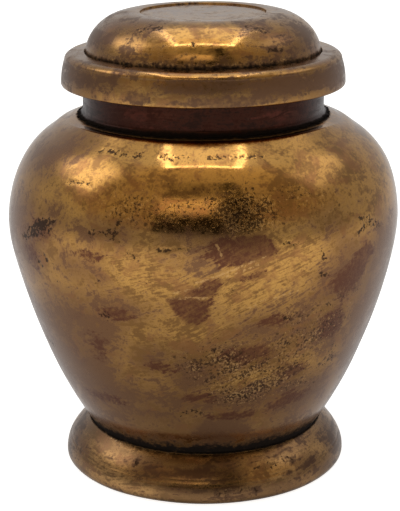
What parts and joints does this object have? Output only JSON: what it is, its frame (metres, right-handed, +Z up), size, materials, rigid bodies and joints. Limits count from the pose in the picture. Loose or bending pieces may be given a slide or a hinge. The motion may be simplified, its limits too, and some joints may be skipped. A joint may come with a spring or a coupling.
{
  "type": "cremation urn",
  "caption": "Round-shouldered bronze urn on a spreading foot ring, with a short neck and a domed, rimmed lid that has a shallow round recess on top and lifts off.",
  "frame": {"origin": "on the ground under the middle of the foot ring", "axes": "+Z up along the axis that every piece is turned round; -Y is the side that the picture shows"},
  "size_m": [0.19, 0.19, 0.2248],
  "materials": {
    "foot_bronze": "aged bronze, brown patina with gold rubbed high spots and fine dark pits, satin",
    "vessel_bronze": "aged bronze, gold ground under reddish brown patches, rub streaks and dark pits, satin to polished",
    "neck_bronze": "aged bronze, dark brown, dull, with a black deposit along its lower joint",
    "lid_bronze": "aged bronze, gold and brown, smooth polished dome, rubbed rim edge"
  },
  "bodies": {
    "root": {"foot_ring": "foot_bronze", "vessel": "vessel_bronze", "neck_ring": "neck_bronze", "lid": "lid_bronze"}
  },
  "joints": []
}
